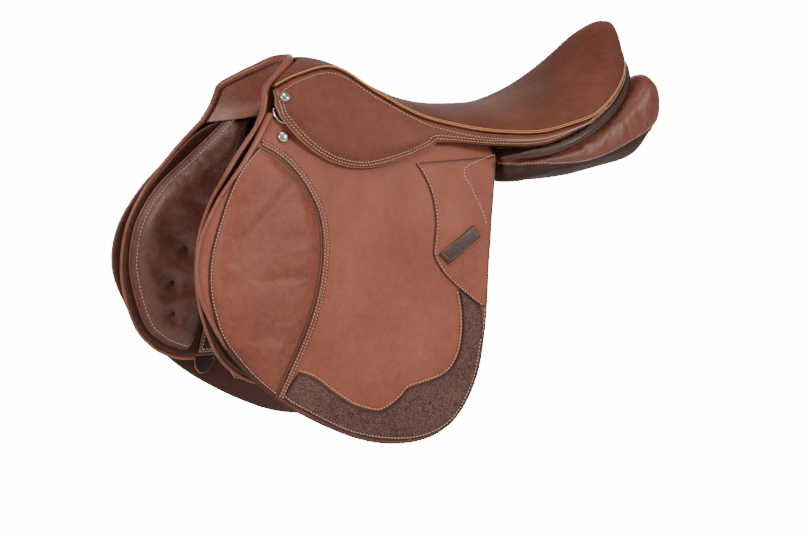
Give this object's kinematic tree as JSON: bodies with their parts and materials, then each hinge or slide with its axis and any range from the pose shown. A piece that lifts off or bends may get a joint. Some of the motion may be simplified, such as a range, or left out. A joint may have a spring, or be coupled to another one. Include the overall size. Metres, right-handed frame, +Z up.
{
  "type": "english saddle",
  "caption": "Close-contact english jumping saddle in brown leather with forward flaps, knee pads, hinged skirts over stirrup bars, wool panels and girth straps.",
  "frame": {"origin": "On the centreline under the lowest point of the seat, level with the undersides of the two panels, where the saddle rests on the horse.", "axes": "+X to the cantle, +Z up, left (near) side at -Y"},
  "size_m": [0.5873, 0.2736, 0.4456],
  "materials": {
    "flap_leather": "tanned, soft waxy sheen",
    "seat_leather": "smooth, satin",
    "dark_leather": "smooth, satin",
    "grip_leather": "pebbled grain, semi-gloss",
    "panel_leather": "smooth, soft",
    "lining_leather": "matt flesh side",
    "billet_leather": "smooth, waxed edge",
    "welt": "piping cord in leather",
    "nickel": "nickel plate",
    "bright_steel": "forged and polished",
    "tree_frame": "laminated beech, sealed",
    "foam": "closed-cell foam",
    "webbing": "woven web"
  },
  "bodies": {
    "root": {"billet_guard_left": "lining_leather", "billet_guard_right": "lining_leather", "billet_web_left": "webbing", "billet_web_right": "webbing", "cantle_roll_left": "dark_leather", "cantle_roll_right": "dark_leather", "catch_pin_left": "bright_steel", "catch_pin_right": "bright_steel", "dee_loop_left": "dark_leather", "dee_loop_right": "dark_leather", "flap_stud_left": "nickel", "flap_stud_right": "nickel", "flap_top_left": "flap_leather", "flap_top_right": "flap_leather", "gullet_lining": "lining_leather", "head_plate": "bright_steel", "panel_front_left": "panel_leather", "panel_front_right": "panel_leather", "panel_left": "panel_leather", "panel_right": "panel_leather", "pommel_binding": "flap_leather", "pommel_facing": "flap_leather", "seat_cover": "seat_leather", "seat_foam": "foam", "seat_webbing": "webbing", "seat_welt_left": "welt", "seat_welt_right": "welt", "skirt_band_left": "seat_leather", "skirt_band_right": "seat_leather", "skirt_nail_left": "nickel", "skirt_nail_right": "nickel", "stirrup_bar_left": "bright_steel", "stirrup_bar_right": "bright_steel", "sweat_flap_left": "lining_leather", "sweat_flap_right": "lining_leather", "tree": "tree_frame"},
    "catch_left": {"bar_catch_left": "bright_steel"},
    "catch_right": {"bar_catch_right": "bright_steel"},
    "billet_front_left": {"billet_front_left": "billet_leather"},
    "billet_front_right": {"billet_front_right": "billet_leather"},
    "billet_middle_left": {"billet_middle_left": "billet_leather"},
    "billet_middle_right": {"billet_middle_right": "billet_leather"},
    "billet_rear_left": {"billet_rear_left": "billet_leather"},
    "billet_rear_right": {"billet_rear_right": "billet_leather"},
    "dee_left": {"dee_ring_left": "nickel"},
    "dee_right": {"dee_ring_right": "nickel"},
    "flap_left": {"flap_left": "flap_leather", "flap_tab_left": "dark_leather", "grip_patch_left": "grip_leather", "knee_pad_left": "flap_leather", "rear_patch_left": "flap_leather"},
    "flap_right": {"flap_right": "flap_leather", "flap_tab_right": "dark_leather", "grip_patch_right": "grip_leather", "knee_pad_right": "flap_leather", "rear_patch_right": "flap_leather"},
    "skirt_left": {"skirt_left": "seat_leather"},
    "skirt_right": {"skirt_right": "seat_leather"}
  },
  "joints": [
    {"name": "flap_lift_left", "type": "hinge", "parent": "root", "child": "flap_left", "pos_m": [-0.285, -0.088, 0.06], "axis": [-0.9306, 0.098, 0.3527], "range_deg": [0, 60]},
    {"name": "skirt_lift_left", "type": "hinge", "parent": "root", "child": "skirt_left", "pos_m": [-0.253, -0.09, 0.092], "axis": [-0.9693, 0.0696, 0.2356], "range_deg": [0, 70]},
    {"name": "catch_swing_left", "type": "hinge", "parent": "root", "child": "catch_left", "pos_m": [-0.139, -0.0881, 0.053], "axis": [0, -1, 0], "range_deg": [0, 60]},
    {"name": "dee_swing_left", "type": "hinge", "parent": "root", "child": "dee_left", "pos_m": [-0.242, -0.07168, 0.09], "axis": [0, 1, 0], "range_deg": [-6, 6]},
    {"name": "billet_front_swing_left", "type": "hinge", "parent": "root", "child": "billet_front_left", "pos_m": [-0.19, -0.09284, 0.023], "axis": [0, 1, 0], "range_deg": [-5, 5]},
    {"name": "billet_middle_swing_left", "type": "hinge", "parent": "root", "child": "billet_middle_left", "pos_m": [-0.15, -0.08983, 0.019], "axis": [0, 1, 0], "range_deg": [-5, 5]},
    {"name": "billet_rear_swing_left", "type": "hinge", "parent": "root", "child": "billet_rear_left", "pos_m": [-0.11, -0.09518, 0.015], "axis": [0, 1, 0], "range_deg": [-5, 5]},
    {"name": "flap_lift_right", "type": "hinge", "parent": "root", "child": "flap_right", "pos_m": [-0.285, 0.088, 0.06], "axis": [0.9306, 0.098, -0.3527], "range_deg": [0, 60]},
    {"name": "skirt_lift_right", "type": "hinge", "parent": "root", "child": "skirt_right", "pos_m": [-0.253, 0.09, 0.092], "axis": [0.9693, 0.0696, -0.2356], "range_deg": [0, 70]},
    {"name": "catch_swing_right", "type": "hinge", "parent": "root", "child": "catch_right", "pos_m": [-0.139, 0.0881, 0.053], "axis": [0, -1, 0], "range_deg": [0, 60]},
    {"name": "dee_swing_right", "type": "hinge", "parent": "root", "child": "dee_right", "pos_m": [-0.242, 0.07168, 0.09], "axis": [0, 1, 0], "range_deg": [-6, 6]},
    {"name": "billet_front_swing_right", "type": "hinge", "parent": "root", "child": "billet_front_right", "pos_m": [-0.19, 0.09284, 0.023], "axis": [0, 1, 0], "range_deg": [-5, 5]},
    {"name": "billet_middle_swing_right", "type": "hinge", "parent": "root", "child": "billet_middle_right", "pos_m": [-0.15, 0.08983, 0.019], "axis": [0, 1, 0], "range_deg": [-5, 5]},
    {"name": "billet_rear_swing_right", "type": "hinge", "parent": "root", "child": "billet_rear_right", "pos_m": [-0.11, 0.09518, 0.015], "axis": [0, 1, 0], "range_deg": [-5, 5]}
  ]
}
